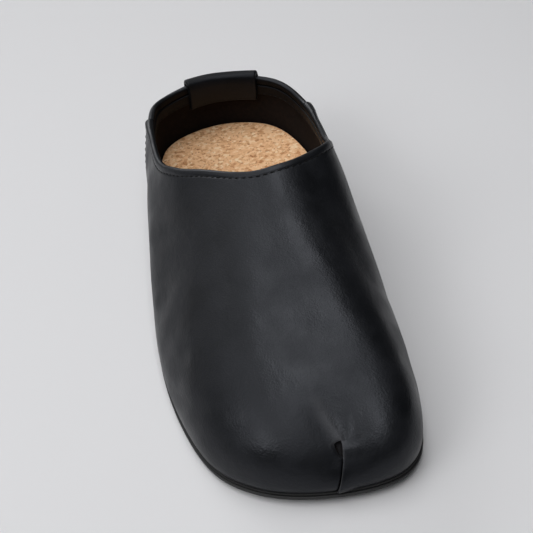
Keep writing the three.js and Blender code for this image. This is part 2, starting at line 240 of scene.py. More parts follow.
# %% [markdown]
# ## From points to a mesh
#
# Most pieces here are nets of points: columns round the foot, rows up the wall. One helper
# turns points and faces into an object, merges the points that fall together and shades it
# smooth. The others add shader nodes with their settings and links, and turn a colour picked
# from a screen, which is in sRGB, into the linear light that Blender works in.

# %% Helpers for meshes and materials
def put_in(name, data):
    thing = bpy.data.objects.new(name, data)
    scene.collection.objects.link(thing)
    return thing


def make_piece(name, points, faces, materials, replaces=None, face_materials=None, wear_and_highlight=None):
    mesh = bpy.data.meshes.new(name)
    mesh.from_pydata((np.asarray(points) + SHIFT).tolist(), [], faces)
    for material in materials:
        mesh.materials.append(material)
    if face_materials is not None:
        mesh.polygons.foreach_set("material_index", np.asarray(face_materials, np.int32))
    if wear_and_highlight is not None:
        attribute = mesh.attributes.new("wear_and_highlight", "FLOAT", "POINT")
        attribute.data.foreach_set("value", np.asarray(wear_and_highlight, np.float32))
    net = bmesh.new()
    net.from_mesh(mesh)
    bmesh.ops.remove_doubles(net, verts=net.verts, dist=0.002 * MM)
    loose = [v for v in net.verts if not v.link_faces]
    bmesh.ops.delete(net, geom=loose, context="VERTS")
    bmesh.ops.recalc_face_normals(net, faces=net.faces)
    net.to_mesh(mesh)
    open_edges = sum(1 for e in net.edges if len(e.link_faces) != 2)
    net.free()
    mesh.polygons.foreach_set("use_smooth", [True] * len(mesh.polygons))
    piece = put_in(name, mesh)
    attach(piece, "root")
    if replaces:
        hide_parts(replaces)
    print(name, len(mesh.polygons), "faces,", open_edges, "open edges")


def linear(hex_colour):
    channels = [int(hex_colour[k:k + 2], 16) / 255 for k in (1, 3, 5)]
    light = [c / 12.92 if c <= 0.04045 else ((c + 0.055) / 1.055) ** 2.4 for c in channels]
    return (*light, 1.0)


def add(tree, kind, settings=None, links=None):
    node = tree.nodes.new(kind)
    for name, value in (settings or {}).items():
        if name in node.inputs:
            node.inputs[name].default_value = value
        else:
            setattr(node, name, value)
    for name, source in (links or {}).items():
        tree.links.new(source, node.inputs[name])
    return node


def new_material(name):
    material = bpy.data.materials.new(name)
    material.use_nodes = True
    material.node_tree.nodes.clear()
    return material, material.node_tree


def texture(tree, kind, spacing, settings=None):
    """A texture on the object's own coordinates, repeating about every spacing metres."""
    place = add(tree, "ShaderNodeTexCoord").outputs["Object"]
    settings = {"Scale": 1 / spacing, **(settings or {})}
    return add(tree, "ShaderNodeTex" + kind, settings, {"Vector": place}).outputs


def colour_ramp(tree, share, *steps):
    node = add(tree, "ShaderNodeValToRGB", links={"Fac": share})
    ramp = node.color_ramp
    while len(ramp.elements) < len(steps):
        ramp.elements.new(0.5)
    for element, (place, hex_colour) in zip(ramp.elements, steps):
        element.position = place
        element.color = linear(hex_colour)
    return node.outputs["Color"]


def surface(tree, settings, links):
    shader = add(tree, "ShaderNodeBsdfPrincipled", settings, links)
    add(tree, "ShaderNodeOutputMaterial", links={"Surface": shader.outputs["BSDF"]})


def bump_node(tree, strength, depth, height, normal=None):
    """Small relief for the light only: depth is in metres, height is a texture's output."""
    links = {"Height": height}
    if normal:
        links["Normal"] = normal
    return add(tree, "ShaderNodeBump", {"Strength": strength, "Distance": depth}, links).outputs["Normal"]


# %% [markdown]
# ## The dart, the laps and the hole
#
# Flat leather only goes round a toe if some of it is taken away. On the real slipper the toe
# is pinched in a dart: the big-toe side laps over the other, and a small hole ends the seam so
# that it doesn't tear. The vamp also laps over the heel piece at both sides. Each lap is a
# step in how far the leather stands off the last, worked out from the real distances in
# millimetres, so it keeps its width wherever the ribs run close together.

# %% Distances near the dart and the seams
DART_DEPTH, DART_SPREAD, DART_DEEPENS = 3 * MM, 11 * MM, 16 * MM
DART_TOP, DART_FADE = 22 * MM, 28 * MM
DART_LAP, DART_LAP_FADE = 1.2 * MM, 9 * MM
HOLE_LENGTH, HOLE_RADIUS = 7.5 * MM, 1.4 * MM
SEAM_LAP, SEAM_LAP_FADE = 1.4 * MM, 22 * MM
HOLE_FOOT = DART_TOP - HOLE_LENGTH
HOLE_CENTRE = DART_TOP - HOLE_RADIUS

dart_shares = np.linspace(0, 1, 61)
dart_heights = distance_along(rib_point(DART, dart_shares))
print("the dart's rib is", round(dart_heights[-1] / MM), "mm long")


def up_dart(t):
    return np.interp(t, dart_shares, dart_heights)


def away_from(line, u, t):
    return length(rib_point(u, t) - rib_point(line, t))


def dart_pinch(u, t):
    deepens = smooth(0, DART_DEEPENS, up_dart(t))
    fades = 1 - smooth(DART_TOP, DART_TOP + DART_FADE, up_dart(t))
    return DART_DEPTH * np.exp(-((away_from(DART, u, t) / DART_SPREAD) ** 2)) * deepens * fades


def lap_open(line, t):
    if line == DART:
        return 1 - smooth(DART_TOP - HOLE_LENGTH / 2, DART_TOP, up_dart(t))
    return np.ones_like(t)


def dart_relief(u, t, on_flap):
    near = 1 - smooth(0, DART_LAP_FADE, away_from(DART, u, t))
    return DART_LAP * on_flap * lap_open(DART, t) * near - dart_pinch(u, t)


def seam_relief(u, t, on_vamp):
    away = np.minimum(away_from(SEAM_M, u, t), away_from(SEAM_L, u, t))
    return SEAM_LAP * on_vamp * (1 - smooth(0, SEAM_LAP_FADE, away))


def hole_half_width(height):
    above = np.sqrt(np.clip(HOLE_RADIUS**2 - (height - HOLE_CENTRE) ** 2, 0, None))
    below = HOLE_RADIUS * np.sqrt(np.clip((height - HOLE_FOOT) / (HOLE_CENTRE - HOLE_FOOT), 0, 1))
    return np.where(height > HOLE_CENTRE, above, below)


# %% [markdown]
# ## Creases, ridges and the turned collar
#
# Worn leather remembers the foot. Broad soft hollows run across the vamp where it bends, and
# over the hole the skin stands up in two ridges with a hollow between them. Each crease is a
# line between two places on the leather, given as ribs and shares of a rib, with its own width
# and depth in millimetres. A bell curve across the line makes a trough, or a ridge where the
# depth is negative, and towards the line's ends it fades.

# %% Creases placed one by one
CREASES = (
    # from u, t        to u, t      width, depth in mm
    (9.7, 0.12, 8.6, 0.34, 4.0, 0.60),
    (9.9, 0.24, 9.0, 0.46, 5.0, 0.60),
    (8.9, 0.10, 8.1, 0.30, 4.0, 0.45),
    (10.2, 0.30, 9.6, 0.62, 6.0, 0.50),
    (4.6, 0.18, 5.5, 0.40, 5.0, 0.50),
    (4.1, 0.30, 4.9, 0.62, 6.0, 0.45),
    (6.5, 0.42, 7.6, 0.50, 5.0, -0.40),
    (6.3, 0.60, 7.9, 0.66, 5.0, 0.35),
    (6.0, 0.78, 8.2, 0.82, 5.0, 0.30),
    (3.2, 0.45, 3.8, 0.70, 7.0, 0.30),
    (10.8, 0.40, 10.3, 0.70, 7.0, 0.30),
    (0.9, 0.25, 1.8, 0.50, 7.0, 0.25),
    (13.3, 0.50, 12.3, 0.30, 7.0, 0.25),
)
CREASE_STEPS = 25
RIDGES_OVER_HOLE = (
    (7.02, 0.262, 7.21, 0.440, 2.1, -0.45),
    (6.92, 0.264, 6.80, 0.360, 1.2, 0.25),
    (6.85, 0.262, 6.65, 0.400, 2.0, -0.30),
)


def crease_level(points, crease, full_at_start=False):
    u0, t0, u1, t1, width, depth = crease
    share = np.linspace(0, 1, CREASE_STEPS)
    line = rib_point(u0 + (u1 - u0) * share, t0 + (t1 - t0) * share)
    away = length(points[..., None, :] - line)
    nearest = away.argmin(-1)
    place = share[nearest] / 2 + 0.5 if full_at_start else share[nearest]
    tapers = np.sin(np.pi * np.clip(place, 0.02, 0.98)) ** 0.7
    return -depth * MM * tapers * np.exp(-((away.min(-1) / (width * MM)) ** 2))


print(len(CREASES), "creases and", len(RIDGES_OVER_HOLE), "lines over the hole")

# %% How far the leather stands off the last
TURNED_EDGE = 3 * MM
GROOVE_BELOW_RIM, GROOVE_WIDTH, GROOVE_DEPTH = 2.1 * MM, 0.45 * MM, 0.22 * MM
PUFF, PUFF_FROM, PUFF_TO = 0.2 * MM, 1.1 * MM, 2.1 * MM
TUCK, TUCK_HEIGHT = 0.5 * MM, 1.6 * MM
UNDULATION, UNDULATION_SCALE = 0.22 * MM, 22 * MM
CALM_AT_RIM, WAVY_FROM = 2 * MM, 14 * MM


def undulation(points):
    flat = points.reshape(-1, 3)
    values = [noise.noise(Vector(p / UNDULATION_SCALE)) for p in flat]
    return UNDULATION * np.array(values).reshape(points.shape[:-1])


def outside_level(u, t, on_flap, on_vamp):
    points = rib_point(u, t)
    level = dart_relief(u, t, on_flap) + seam_relief(u, t, on_vamp)
    for crease in CREASES:
        level = level + crease_level(points, crease)
    for ridge in RIDGES_OVER_HOLE:
        level = level + crease_level(points, ridge, full_at_start=True)
    below = rim_distance(u, t)
    level = level + undulation(points) * smooth(CALM_AT_RIM, WAVY_FROM, below)
    level = level + PUFF * (1 - smooth(PUFF_FROM, PUFF_TO, below))
    level = level - GROOVE_DEPTH * np.exp(-(((below - GROOVE_BELOW_RIM) / GROOVE_WIDTH) ** 2))
    height = length(points - rib_point(u, 0))
    return level - TUCK * np.exp(-((height / TUCK_HEIGHT) ** 2))


middle_level = outside_level(np.array([[float(DART)]]), np.array([[0.7]]), 0.0, 1.0)[0, 0]
print("the vamp's middle stands", round(middle_level / MM, 2), "mm off the last")

# %% [markdown]
# ## Columns and rows of the leather's net
#
# The net is a grid, fine where something small happens. Beside each lap the columns crowd to
# a few tenths of a millimetre, and the lap itself has four columns on one line: the edge of
# the upper leather, the foot of that edge, a thin undercut where the shadow sits, and the lip
# of the leather below. Rows crowd in the same way at the hole and at the collar.

# %% Columns round the foot
LAP_SIDES = {SEAM_M: 1, DART: -1, SEAM_L: -1}
STEPS_PER_RIB = 22
BESIDE_LAP = (0.2, 0.5, 0.9, 1.5, 2.3, 3.4)
CLEAR_OF_LAP = 4.4
LAP_ROLES = {"lip": -1.5, "undercut": -0.5, "edge_low": 0.5, "edge": 1.5}


def per_rib(line):
    return length(rib_point(line + 0.05, 0.3) - rib_point(line - 0.05, 0.3)) / 0.1


def make_columns():
    places = [k / STEPS_PER_RIB for k in range(RIB_COUNT * STEPS_PER_RIB)]
    found = []
    for u in places:
        if all(abs(u - line) * per_rib(line) > CLEAR_OF_LAP * MM for line in LAP_SIDES):
            found.append((u, u, ""))
    for line, side in LAP_SIDES.items():
        for offset in BESIDE_LAP:
            for way in (-1, 1):
                u = line + way * offset * MM / per_rib(line)
                found.append((u, u, ""))
        for role, order in LAP_ROLES.items():
            found.append((line + side * order * 1e-6, float(line), role))
    return sorted(found)


columns = make_columns()
column_u = np.array([u for order, u, role in columns])
column_role = [role for order, u, role in columns]
raised = np.array([role in ("edge", "edge_low") for role in column_role])
on_flap = np.where(column_u == DART, raised, column_u < DART).astype(float)
at_seam = (column_u == SEAM_M) | (column_u == SEAM_L)
on_vamp = np.where(at_seam, raised, (column_u > SEAM_M) & (column_u < SEAM_L)).astype(float)
print(len(columns), "columns")

# %% Rows up the leather
WALL_END = 12 * MM
COLLAR_ROWS = np.array([9.5, 7.5, 6, 4.8, 3.8, 3.2, 2.8, 2.5, 2.3, 2.1, 1.9, 1.7, 1.4, 1.0, 0.5, 0]) * MM
wall_top = below_rim(DART, WALL_END)
round_top = HOLE_CENTRE + HOLE_RADIUS * np.sin(np.radians(np.arange(15, 91, 15)))
dart_rows = np.concatenate([
    np.linspace(0, HOLE_FOOT - 2.4 * MM, 13), HOLE_FOOT - np.array([1.9, 1.4, 0.9, 0.45]) * MM,
    np.linspace(HOLE_FOOT, HOLE_CENTRE, 12), round_top,
    DART_TOP + np.array([0.4, 0.9, 1.4, 2.0, 2.6, 3.3, 4.0]) * MM,
    np.linspace(DART_TOP + 5 * MM, DART_TOP + 30 * MM, 24),
    np.linspace(DART_TOP + 31.4 * MM, up_dart(wall_top), 52),
])
row_share = np.interp(dart_rows, dart_heights, dart_shares) / wall_top
hole_rows = (dart_rows >= HOLE_FOOT - 1e-9) & (dart_rows <= DART_TOP + 1e-9)
row_count = len(row_share)
u = column_u[:, None]
wall_t = row_share[None, :] * below_rim(u, WALL_END)
collar_t = below_rim(u, COLLAR_ROWS[None, :])
outside_t = np.concatenate([wall_t, collar_t], axis=1)
print(row_count, "wall rows,", int(hole_rows.sum()), "of them beside the hole")

# %% [markdown]
# ## The upper
#
# The real upper is one wall of leather, 2.2 mm thick, with its top edge folded over and sewn
# down, and a thin brown lining inside. It is one closed mesh here too: up the outside, over
# the round collar and down the inside, so that it has a true thickness at the collar. The hole
# is a pit through most of the leather. Its floor and the underside of the turned edge get the
# darkest leather as painted shade, and the inner faces get the lining.

# %% Points of the outside
LAP_THICKNESS = 1.3 * MM
UNDERCUT, UNDERCUT_DEPTH = 0.7 * MM, 0.35 * MM
FLAP_ROUND, FLAP_ROUND_WIDTH = 0.25 * MM, 0.35 * MM
LIP_DIP, LIP_WIDTH = 0.3 * MM, 0.7 * MM
HOLE_SPREAD, HOLE_FLAP_SHARE = 8 * MM, 0.15
HOLE_LIP_DIP, HOLE_LIP_WIDTH = 0.35 * MM, 0.9 * MM
HOLE_DIP_BEFORE, HOLE_DIP_AFTER = 3 * MM, 1 * MM
HOLE_DEPTH, HOLE_SLOPE = 1.8 * MM, 0.5 * MM
LIP_AWAY = 0.3 * MM
LAP_DROPS = {"edge_low": LAP_THICKNESS - FLAP_ROUND, "undercut": UNDERCUT_DEPTH}


def lap_shape(u, t):
    """Level and sideways slide of every point near a lap."""
    level = np.zeros(t.shape)
    slide = np.zeros(t.shape)
    for line, side in LAP_SIDES.items():
        open_share = lap_open(line, t)
        away = away_from(line, u, t)
        flap = np.where(u == line, raised[:, None], (u - line) * side > 0)
        rounded = -FLAP_ROUND * np.exp(-((away / FLAP_ROUND_WIDTH) ** 2))
        dips = -LIP_DIP * np.exp(-((away / LIP_WIDTH) ** 2))
        level += open_share * np.where(flap, rounded, dips)
        here = u[:, 0] == line
        for j in np.flatnonzero(here):
            level[j] -= LAP_DROPS.get(column_role[j], 0) * open_share[j]
            if column_role[j] == "undercut":
                slide[j] += side * UNDERCUT * open_share[j]
            if column_role[j] == "lip":
                slide[j] -= side * LIP_AWAY * open_share[j]
    return level, slide


def beside_dart(u, t):
    """Places moved along the leather to open the hole, and how far each is from its edge."""
    flap_side = on_flap[:, None] > 0
    share = np.where(flap_side, HOLE_FLAP_SHARE, 2 - HOLE_FLAP_SHARE)
    open_by = hole_half_width(up_dart(t)) * share
    away = away_from(DART, u, t)
    step = 0.02
    per_unit = length(rib_point(u + step, t) - rib_point(u - step, t)) / (2 * step)
    push = open_by * (1 - smooth(0, HOLE_SPREAD, away)) / per_unit
    return u + np.where(flap_side, -push, push), away


def hole_level(away, t):
    """The lower side turns down into the hole, and the leather is cut away in it."""
    height = up_dart(t)
    starts = smooth(HOLE_FOOT - HOLE_DIP_BEFORE, HOLE_CENTRE, height)
    ends = smooth(HOLE_CENTRE, DART_TOP + HOLE_DIP_AFTER, height)
    dip = HOLE_LIP_DIP * np.exp(-((away / HOLE_LIP_WIDTH) ** 2)) * starts * (1 - ends)
    level = -np.where(on_flap[:, None] > 0, 0, dip)
    recess = HOLE_DEPTH * smooth(0, HOLE_SLOPE, hole_half_width(height))
    for j, role in enumerate(column_role):
        if column_u[j] == DART and role in LAP_DROPS:
            level[j] -= np.maximum(0, recess[j] - LAP_DROPS[role] * lap_open(DART, t[j]))
    return level


columns_flap, columns_vamp = on_flap[:, None], on_vamp[:, None]
outside_u, from_edge = beside_dart(u, outside_t)
level = outside_level(outside_u, outside_t, columns_flap, columns_vamp)
lap_level, lap_slide = lap_shape(u, outside_t)
in_hole = hole_half_width(up_dart(outside_t)) > 0
undercut = (np.array(column_role) == "undercut")[:, None] & (u == DART)
lap_slide = np.where(in_hole & undercut, 0, lap_slide)
level = level + lap_level + hole_level(from_edge, outside_t)
normals, sideways = out_of(outside_u, outside_t), round_foot(outside_u, outside_t)
outside = rib_point(outside_u, outside_t) + normals * level[..., None]
outside = outside + sideways * lap_slide[..., None]
print("outside net:", outside.shape[:2])

# %% Points of the rim and the inside
ARC = np.arange(15, 180, 15)
INNER_COLLAR = ((0.0, 3.0), (0.8, 3.0), (1.6, 3.0), (2.2, 2.95), (2.5, 2.8), (2.6, 2.5), (2.8, 2.2),
                (4.2, 2.2), (6.0, 2.2), (9.0, 2.2))
TURNED_POINTS, TURNED_IN_ARC = 6, 9
rim, rim_out, rim_up = rib_point(u, 1), out_of(u, 1), up_rib(u, 1)
arc = np.radians(ARC)[None, :]
rim_level = level[:, -1:] * (1 - arc / np.pi)
arc_out = (np.cos(arc) - 1) * TURNED_EDGE / 2 + rim_level
arc_up = np.sin(arc) * (TURNED_EDGE / 2 + PUFF / 2)
arc_points = rim + rim_out * arc_out[..., None] + rim_up * arc_up[..., None]


def under(u, t, depth, flap):
    """A place at some depth below the last, pushed in by the dart's pinch and never outwards."""
    level = np.minimum(0, dart_relief(u, t, flap)) - depth
    return rib_point(u, t) + out_of(u, t) * level[..., None]


inner_far, inner_depth = (np.array(values)[None, :] * MM for values in zip(*INNER_COLLAR))
inner_collar = under(u, below_rim(u, inner_far), inner_depth, columns_flap)
inner_rows = np.arange(0, row_count, 2)[::-1]
inner_t = wall_t[:, inner_rows]
inner_wall = under(u, inner_t, LEATHER, columns_flap)
foot_xy = edge_point(column_u) - edge_normal(column_u) * LEATHER
inner_wall[:, -1, :2] = foot_xy
inner_wall[:, -1, 2] = SEAT + lift(edge_point(column_u)[:, 1])
upper_net = np.concatenate([outside, arc_points, inner_collar, inner_wall], axis=1)
section = upper_net.shape[1]
print("one section has", section, "points")


# %% Faces of the upper
def upper_faces():
    """Squares between the columns, each with its material: 0 leather, 1 lining, 2 dark leather, which
    paints shade on the hole's floor and under the turned edge.
    """
    faces, kinds = [], []
    count = len(columns)
    hole_floor = column_role.index("edge_low", int(np.flatnonzero(column_u == DART)[0]))
    outer_count = outside.shape[1]
    lining_from = outer_count + len(ARC) + TURNED_POINTS
    for j in range(count):
        n = (j + 1) % count
        for k in range(section):
            m = (k + 1) % section
            faces.append((j * section + k, n * section + k, n * section + m, j * section + m))
            behind_hole = j == hole_floor and k < row_count and hole_rows[k]
            inside = lining_from <= k < section - 1
            turned_in = outer_count + TURNED_IN_ARC <= k < lining_from
            # The hole's floor and the turned edge's underside get the dark leather as painted shade.
            kinds.append(2 if behind_hole or turned_in else int(inside))
    return faces, kinds


faces, kinds = upper_faces()
print(len(faces), "squares, of which", kinds.count(1), "are lining and", kinds.count(2), "dark leather")

# %% [markdown]
# ## Black calf leather and its lining
#
# The upper is smooth black calf, dyed through and lightly waxed. Its surface is a thin film
# over a fine grain, so it shows soft reflections of the room and almost no colour of its own.
# The film's IOR is near 1.4, and its tint makes the reflections a little cool. The pores are
# less than a millimetre apart, longer wrinkles cross them, and the sheen changes slowly from
# place to place. Lap edges and the rim of the hole turn grey, partly from rubbing and partly as
# a painted highlight, and the grey along the ridge over the hole is a painted highlight only: a
# number at every point of the mesh says how much. The facing and the tab are of duller leather,
# whose film has a lower IOR.

# %% Smooth black calf leather
SHEEN_TINT = (0.86, 0.9, 1.0, 1.0)


def leather_material(name, body, worn_and_highlight_grey, roughness, wrinkle_height, film=1.4):
    material, tree = new_material(name)
    mottle = texture(tree, "Noise", 0.018, {"Detail": 4.0})["Fac"]
    tone = colour_ramp(tree, mottle, (0.3, body[0]), (0.7, body[1]))
    # A number at each point mixes in a grey: rubbed wear with a painted highlight on the lap edges and the
    # hole's rim, and a painted highlight alone on the ridge over the hole.
    wear_and_highlight = add(tree, "ShaderNodeAttribute", {"attribute_name": "wear_and_highlight"})
    wear_and_highlight_mix = add(tree, "ShaderNodeMix", {"data_type": "RGBA"}, {"Factor": wear_and_highlight.outputs["Fac"]})
    tree.links.new(tone, wear_and_highlight_mix.inputs["A"])
    wear_and_highlight_mix.inputs["B"].default_value = linear(worn_and_highlight_grey)
    place = add(tree, "ShaderNodeTexCoord").outputs["Object"]
    stretch = add(tree, "ShaderNodeMapping", {"Scale": (1.0, 0.55, 1.0)}, {"Vector": place})
    wrinkles = add(tree, "ShaderNodeTexNoise", {"Scale": 1 / 0.005, "Detail": 5.0, "Distortion": 0.4},
                   {"Vector": stretch.outputs["Vector"]})
    fine = bump_node(tree, 0.3, 0.00015, texture(tree, "Voronoi", 0.0008)["Distance"])
    broad = bump_node(tree, 0.24, wrinkle_height, wrinkles.outputs["Fac"], fine)
    sheen_map = add(tree, "ShaderNodeMapRange",
                    {"From Min": 0.3, "From Max": 0.7, "To Min": roughness[0], "To Max": roughness[1]},
                    {"Value": mottle})
    surface(tree, {"IOR": film, "Specular Tint": SHEEN_TINT},
            {"Base Color": wear_and_highlight_mix.outputs["Result"], "Roughness": sheen_map.outputs["Result"],
             "Normal": broad})
    return material


# The third colour is the grey of rubbed lap edges, which also stands in for their highlight, and of the
# painted highlight on the ridge over the hole.
calf = leather_material("smooth_black_calf", ("#07080A", "#101114"), "#48484A", (0.32, 0.54), 0.0008)
facing_calf = leather_material("facing_calf", ("#060506", "#0A0808"), "#1C1918", (0.55, 0.7), 0.0004, 1.28)
tab_calf = leather_material("tab_calf", ("#0C0D0F", "#131417"), "#4A4B4D", (0.38, 0.5), 0.0004, 1.27)
print("leathers:", calf.name, facing_calf.name, tab_calf.name)


# %% Brown pigskin lining
def lining_material():
    material, tree = new_material("brown_pigskin_lining")
    fibres = texture(tree, "Noise", 0.002, {"Detail": 6.0})["Fac"]
    tone = colour_ramp(tree, fibres, (0.3, "#0E0908"), (0.7, "#1A120E"))
    bump = bump_node(tree, 0.4, 0.0002, fibres)
    surface(tree, {"Roughness": 0.85, "IOR": 1.25}, {"Base Color": tone, "Normal": bump})
    return material


lining = lining_material()
print("lining:", lining.name)

# %% Make the upper
# The grey share at each point: on the lap edges and the hole's rim it is rubbed wear and partly a painted
# highlight, on the main ridge over the hole a painted highlight only.
DART_WEAR_AND_HIGHLIGHT, SEAM_WEAR_AND_HIGHLIGHT, HOLE_WEAR_AND_HIGHLIGHT, RIDGE_PAINTED_HIGHLIGHT = 0.5, 0.3, 0.3, 0.5
WEAR_AND_HIGHLIGHT_WIDTH = 0.6 * MM
wear_and_highlight_map = np.zeros(upper_net.shape[:2])
outer_rows = outside.shape[1]
for j, role in enumerate(column_role):
    if role in ("edge", "edge_low"):
        line = int(column_u[j])
        most_wear_and_highlight = DART_WEAR_AND_HIGHLIGHT if line == DART else SEAM_WEAR_AND_HIGHLIGHT
        wear_and_highlight_map[j, :outer_rows] = most_wear_and_highlight * lap_open(line, outside_t[j])
near_hole = np.exp(-((from_edge / WEAR_AND_HIGHLIGHT_WIDTH) ** 2))
on_top = np.array([role not in LAP_DROPS for role in column_role])[:, None]
wear_and_highlight_map[:, :row_count] += HOLE_WEAR_AND_HIGHLIGHT * near_hole[:, :row_count] * hole_rows * on_top
# The main ridge over the hole gets a painted highlight.
main_ridge = RIDGES_OVER_HOLE[0]
ridge_highlight_share = crease_level(rib_point(u, outside_t), main_ridge, full_at_start=True) / (-main_ridge[-1] * MM)
wear_and_highlight_map[:, :outer_rows] += RIDGE_PAINTED_HIGHLIGHT * ridge_highlight_share
make_piece("upper_leather", upper_net.reshape(-1, 3), faces, [calf, lining, facing_calf], "upper",
           kinds, np.clip(wear_and_highlight_map, 0, 1).ravel())


# %% [markdown]
# ## Strips of leather
#
# A strip has two skins that meet at rounded edges. The same helper makes the facing, sewn
# round the inside of the collar, and the tab that is folded over the back of it: both are a
# grid of places on the last, lifted by the strip's thickness, which falls to nothing in a
# quarter circle along its borders.

# %% The helper for strips
def edge_round(distance, radius):
    """A quarter circle: 0 at the border and 1 from the radius on."""
    near = 1 - np.clip(distance / radius, 0, 1)
    return np.sqrt(1 - near**2)


def two_skins(base, direction, thickness):
    top = base + direction * thickness[..., None]
    return np.stack([base, top])


def strip_faces(columns, rows, closed):
    faces = []
    for skin in (0, 1):
        start = skin * columns * rows
        for i in range(columns if closed else columns - 1):
            n = (i + 1) % columns
            for k in range(rows - 1):
                faces.append((start + i * rows + k, start + n * rows + k,
                              start + n * rows + k + 1, start + i * rows + k + 1))
    return faces


# %% The facing round the inside of the collar
FACING_FROM, FACING_WIDTH, FACING_THICKNESS = 3 * MM, 8 * MM, 1 * MM
FACING_DEPTH = LEATHER + GAP
FACING_ROUND = 0.35 * MM
facing_border = np.array([0, 0.15, 0.35, 0.7]) * MM
facing_middle = np.linspace(1.2 * MM, FACING_WIDTH - 1.2 * MM, 9)
across = np.concatenate([facing_border, facing_middle, FACING_WIDTH - facing_border[::-1]])
facing_u = np.arange(0, RIB_COUNT, 1 / STEPS_PER_RIB)[:, None]
facing_t = below_rim(facing_u, FACING_FROM + across[None, :])
no_flap = (facing_u < DART).astype(float)
facing_base = under(facing_u, facing_t, FACING_DEPTH, no_flap)
border = np.minimum(across, FACING_WIDTH - across)
thickness = FACING_THICKNESS * edge_round(border, FACING_ROUND)[None, :]
facing_points = two_skins(facing_base, -out_of(facing_u, facing_t), thickness)
make_piece("facing_strip", facing_points.reshape(-1, 3), strip_faces(len(facing_u), len(across), True),
           [facing_calf], "collar_facing")

# %% [markdown]
# ## The heel tab
#
# A strip of leather 40 mm wide is folded over the collar at the back, 22 mm down the outside
# and 15 mm down the inside, to take the pull of a finger. It stands a little off the collar at
# its top, and more at its two ends, because the stiff strip keeps straighter than the rim under
# it. The fold is a circle pressed towards a square: powers below one push its sine and cosine
# outwards.

# %% The tab folded over the collar
TAB_WIDTH, TAB_THICKNESS, TAB_MIDDLE, TAB_SLACK = 40 * MM, 1.6 * MM, 4 * MM, 0.9 * MM
TAB_OUTSIDE, TAB_INSIDE, TAB_ROUND = 22 * MM, 15 * MM, 0.9 * MM
TAB_END_LIFT, TAB_MIDDLE_SINK, TAB_CLEAR = 1.2 * MM, 0.3 * MM, 0.1 * MM
FOLD_ACROSS, FOLD_UP = 0.75, 0.6
INNER_LEG = FACING_DEPTH + FACING_THICKNESS + GAP


def rim_place(x):
    """The place on the rim at the back of the heel that lies at x, found by halving."""
    low, high = -1.0, 1.0
    for _ in range(30):
        middle = (low + high) / 2
        if rib_point(middle, 1)[0] < x:
            low = middle
        else:
            high = middle
    return (low + high) / 2


tab_border = np.array([0, 0.1, 0.3, 0.6, 1.0]) * MM
tab_inner = np.linspace(1.6 * MM, TAB_WIDTH - 1.6 * MM, 38)
tab_across = np.concatenate([tab_border, tab_inner, TAB_WIDTH - tab_border[::-1]])
tab_u = np.array([rim_place(TAB_MIDDLE - TAB_WIDTH / 2 + x) for x in tab_across])[:, None]
ends = np.array([0, 0.1, 0.3, 0.6, 1.0, 1.5]) * MM
legs_out = np.concatenate([TAB_OUTSIDE - ends, np.linspace(TAB_OUTSIDE - 2 * MM, 0, 21)])[None, :]
legs_in = np.concatenate([np.linspace(0, TAB_INSIDE - 2 * MM, 14), TAB_INSIDE - ends[::-1]])[None, :]
tab_arc = np.radians(np.arange(12, 180, 12))[None, :]
tab_bow = (2 * tab_across[:, None] / TAB_WIDTH - 1) ** 2
over_out, over_up = out_of(tab_u, 1), up_rib(tab_u, 1)
over_middle = rib_point(tab_u, 1) - over_out * (INNER_LEG / 2)


def tab_skin(offset_out, offset_arc, offset_in):
    outer = under(tab_u, below_rim(tab_u, legs_out), -GAP - offset_out, 0.0)
    reach = TURNED_EDGE / 2 + GAP + offset_arc + TAB_CLEAR
    lifted = TURNED_EDGE / 2 + TAB_SLACK + TAB_END_LIFT * tab_bow - TAB_MIDDLE_SINK + offset_arc
    across = np.sign(np.cos(tab_arc)) * np.abs(np.cos(tab_arc)) ** FOLD_ACROSS
    upward = np.sin(tab_arc) ** FOLD_UP
    over = over_middle + over_out * (across * reach)[..., None] + over_up * (upward * lifted)[..., None]
    inner = under(tab_u, below_rim(tab_u, legs_in), INNER_LEG + GAP + offset_in, 0.0)
    return np.concatenate([outer, over, inner], axis=1)


def tab_offsets(from_end):
    from_side = np.minimum(tab_across, TAB_WIDTH - tab_across)[:, None]
    return TAB_THICKNESS * edge_round(np.minimum(from_side, from_end), TAB_ROUND)


from_ends = (TAB_OUTSIDE - legs_out, np.full(tab_arc.shape, TAB_WIDTH), TAB_INSIDE - legs_in)
offsets = [tab_offsets(from_end) for from_end in from_ends]
tab_points = np.stack([tab_skin(0, 0, 0), tab_skin(*offsets)])
make_piece("heel_tab_strip", tab_points.reshape(-1, 3),
           strip_faces(len(tab_across), tab_points.shape[2], False), [tab_calf], "heel_tab")

# %% [markdown]
# ## Thread
#
# Every seam is sewn with waxed black thread. A stitch comes up out of one hole, lies on the
# leather and goes down into the next, so each one is a short round bar whose ends dip below
# the surface. All the stitches of one row are joined into one mesh. The thread is half a
# millimetre thick, and its twist is drawn in the bump.

# %% Waxed thread
THREAD, STITCH, PITCH = 0.5 * MM, 2.4 * MM, 3.3 * MM


def thread_material():
    material, tree = new_material("waxed_black_thread")
    twist = texture(tree, "Wave", 0.0016, {"bands_direction": "DIAGONAL"})["Fac"]
    tone = colour_ramp(tree, twist, (0.2, "#040404"), (0.8, "#0C0C0D"))
    bump = bump_node(tree, 0.5, 0.0001, twist)
    surface(tree, {"Roughness": 0.6, "IOR": 1.3}, {"Base Color": tone, "Normal": bump})
    return material


thread = thread_material()
print("thread:", thread.name)

# %% The helper that sews
STITCH_RADII = THREAD / 2 * np.array([0.55, 0.9, 1, 1, 1, 0.9, 0.55])
RINGS, SIDES = len(STITCH_RADII), 6


